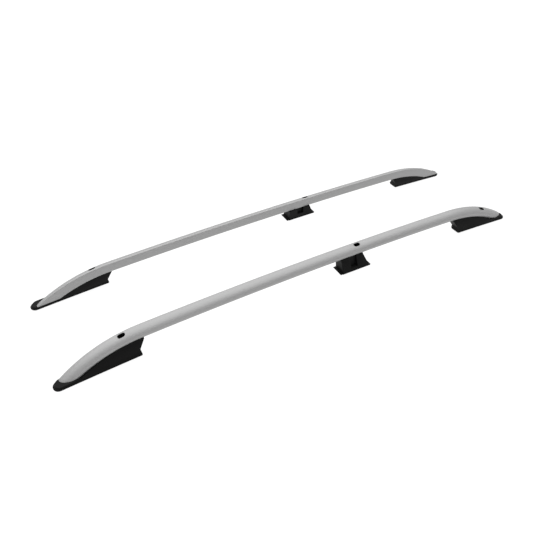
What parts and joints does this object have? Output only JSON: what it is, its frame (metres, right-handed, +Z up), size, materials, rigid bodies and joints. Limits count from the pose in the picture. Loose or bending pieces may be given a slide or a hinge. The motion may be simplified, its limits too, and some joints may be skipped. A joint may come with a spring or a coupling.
{
  "type": "roof side rail pair",
  "caption": "Pair of raised roof side rails: arched satin aluminium tubes of one D-shaped section, each carried by black front, middle and rear feet, with slots for the roof bolts.",
  "frame": {"origin": "midway between the two rails and their toes, at the height of the lowest points of the end feet", "axes": "+X from the front toes to the rear toes, +Y from the vehicle's left rail to its right rail, +Z up"},
  "size_m": [1.8024, 0.4518, 0.1135],
  "materials": {
    "rail_aluminium": "satin anodised",
    "foot_black": "satin moulded",
    "gasket_rubber": "matt",
    "steel_sleeve": "turned",
    "steel_screw": "plated"
  },
  "bodies": {
    "root": {"left_rail_tube": "rail_aluminium", "left_front_foot": "foot_black", "left_middle_foot": "foot_black", "left_rear_foot": "foot_black", "left_front_gasket": "gasket_rubber", "left_middle_gasket": "gasket_rubber", "left_rear_gasket": "gasket_rubber", "left_front_sleeve": "steel_sleeve", "left_middle_sleeve": "steel_sleeve", "left_rear_sleeve": "steel_sleeve", "left_front_screws": "steel_screw", "left_middle_screws": "steel_screw", "left_rear_screws": "steel_screw", "right_rail_tube": "rail_aluminium", "right_front_foot": "foot_black", "right_middle_foot": "foot_black", "right_rear_foot": "foot_black", "right_front_gasket": "gasket_rubber", "right_middle_gasket": "gasket_rubber", "right_rear_gasket": "gasket_rubber", "right_front_sleeve": "steel_sleeve", "right_middle_sleeve": "steel_sleeve", "right_rear_sleeve": "steel_sleeve", "right_front_screws": "steel_screw", "right_middle_screws": "steel_screw", "right_rear_screws": "steel_screw"}
  },
  "joints": []
}
